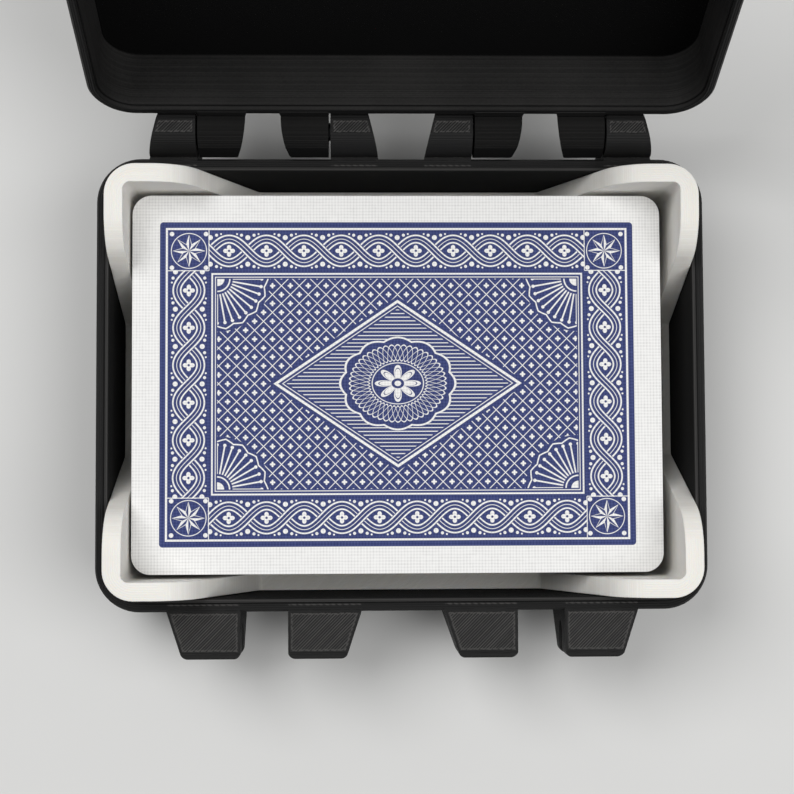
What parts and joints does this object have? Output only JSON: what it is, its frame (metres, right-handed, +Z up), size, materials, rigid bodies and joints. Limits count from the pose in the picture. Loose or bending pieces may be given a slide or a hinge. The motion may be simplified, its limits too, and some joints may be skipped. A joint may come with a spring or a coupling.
{
  "type": "playing card case",
  "caption": "Hinged hard case for a deck of playing cards, with side latches and a lift-out tray that holds the deck between tall corner posts.",
  "frame": {"origin": "centre of the box's underside, which rests on the table", "axes": "+Z up, +Y to the hinge at the back, +X to the right seen from the latch side; the long side of the deck lies along X"},
  "size_m": [0.102, 0.1381, 0.1125],
  "materials": {
    "black_print": "3-D printed, satin",
    "white_print": "3-D printed, satin",
    "steel_pin": "plain steel",
    "card_edge": "coated card",
    "card_back": "linen-embossed coated card, printed blue and white"
  },
  "bodies": {
    "box": {"box_shell": "black_print", "hinge_pin_1": "steel_pin", "hinge_pin_2": "steel_pin", "hinge_pin_3": "steel_pin", "hinge_pin_4": "steel_pin"},
    "lid": {"lid_shell": "black_print", "latch_pin_left": "steel_pin", "latch_pin_right": "steel_pin"},
    "latch_left": {"latch_left": "black_print"},
    "latch_right": {"latch_right": "black_print"},
    "tray": {"card_tray": "white_print"},
    "deck": {"card_stack": "card_edge", "top_card": "card_back"}
  },
  "joints": [
    {"name": "lid_hinge", "type": "hinge", "parent": "box", "child": "lid", "pos_m": [0, 0.0425, 0.022], "axis": [-1, 0, 0], "range_deg": [-113, 67]},
    {"name": "latch_left_hinge", "type": "hinge", "parent": "lid", "child": "latch_left", "pos_m": [-0.02305, 0.07971, 0.09789], "axis": [-1, 0, 0], "range_deg": [-90, 60]},
    {"name": "latch_right_hinge", "type": "hinge", "parent": "lid", "child": "latch_right", "pos_m": [0.02305, 0.07971, 0.09789], "axis": [-1, 0, 0], "range_deg": [-90, 60]},
    {"name": "tray_lift", "type": "slide", "parent": "box", "child": "tray", "axis": [0, 0, 1], "range_m": [0, 0.045]},
    {"name": "deck_lift", "type": "slide", "parent": "tray", "child": "deck", "axis": [0, 0, 1], "range_m": [0, 0.035]}
  ]
}
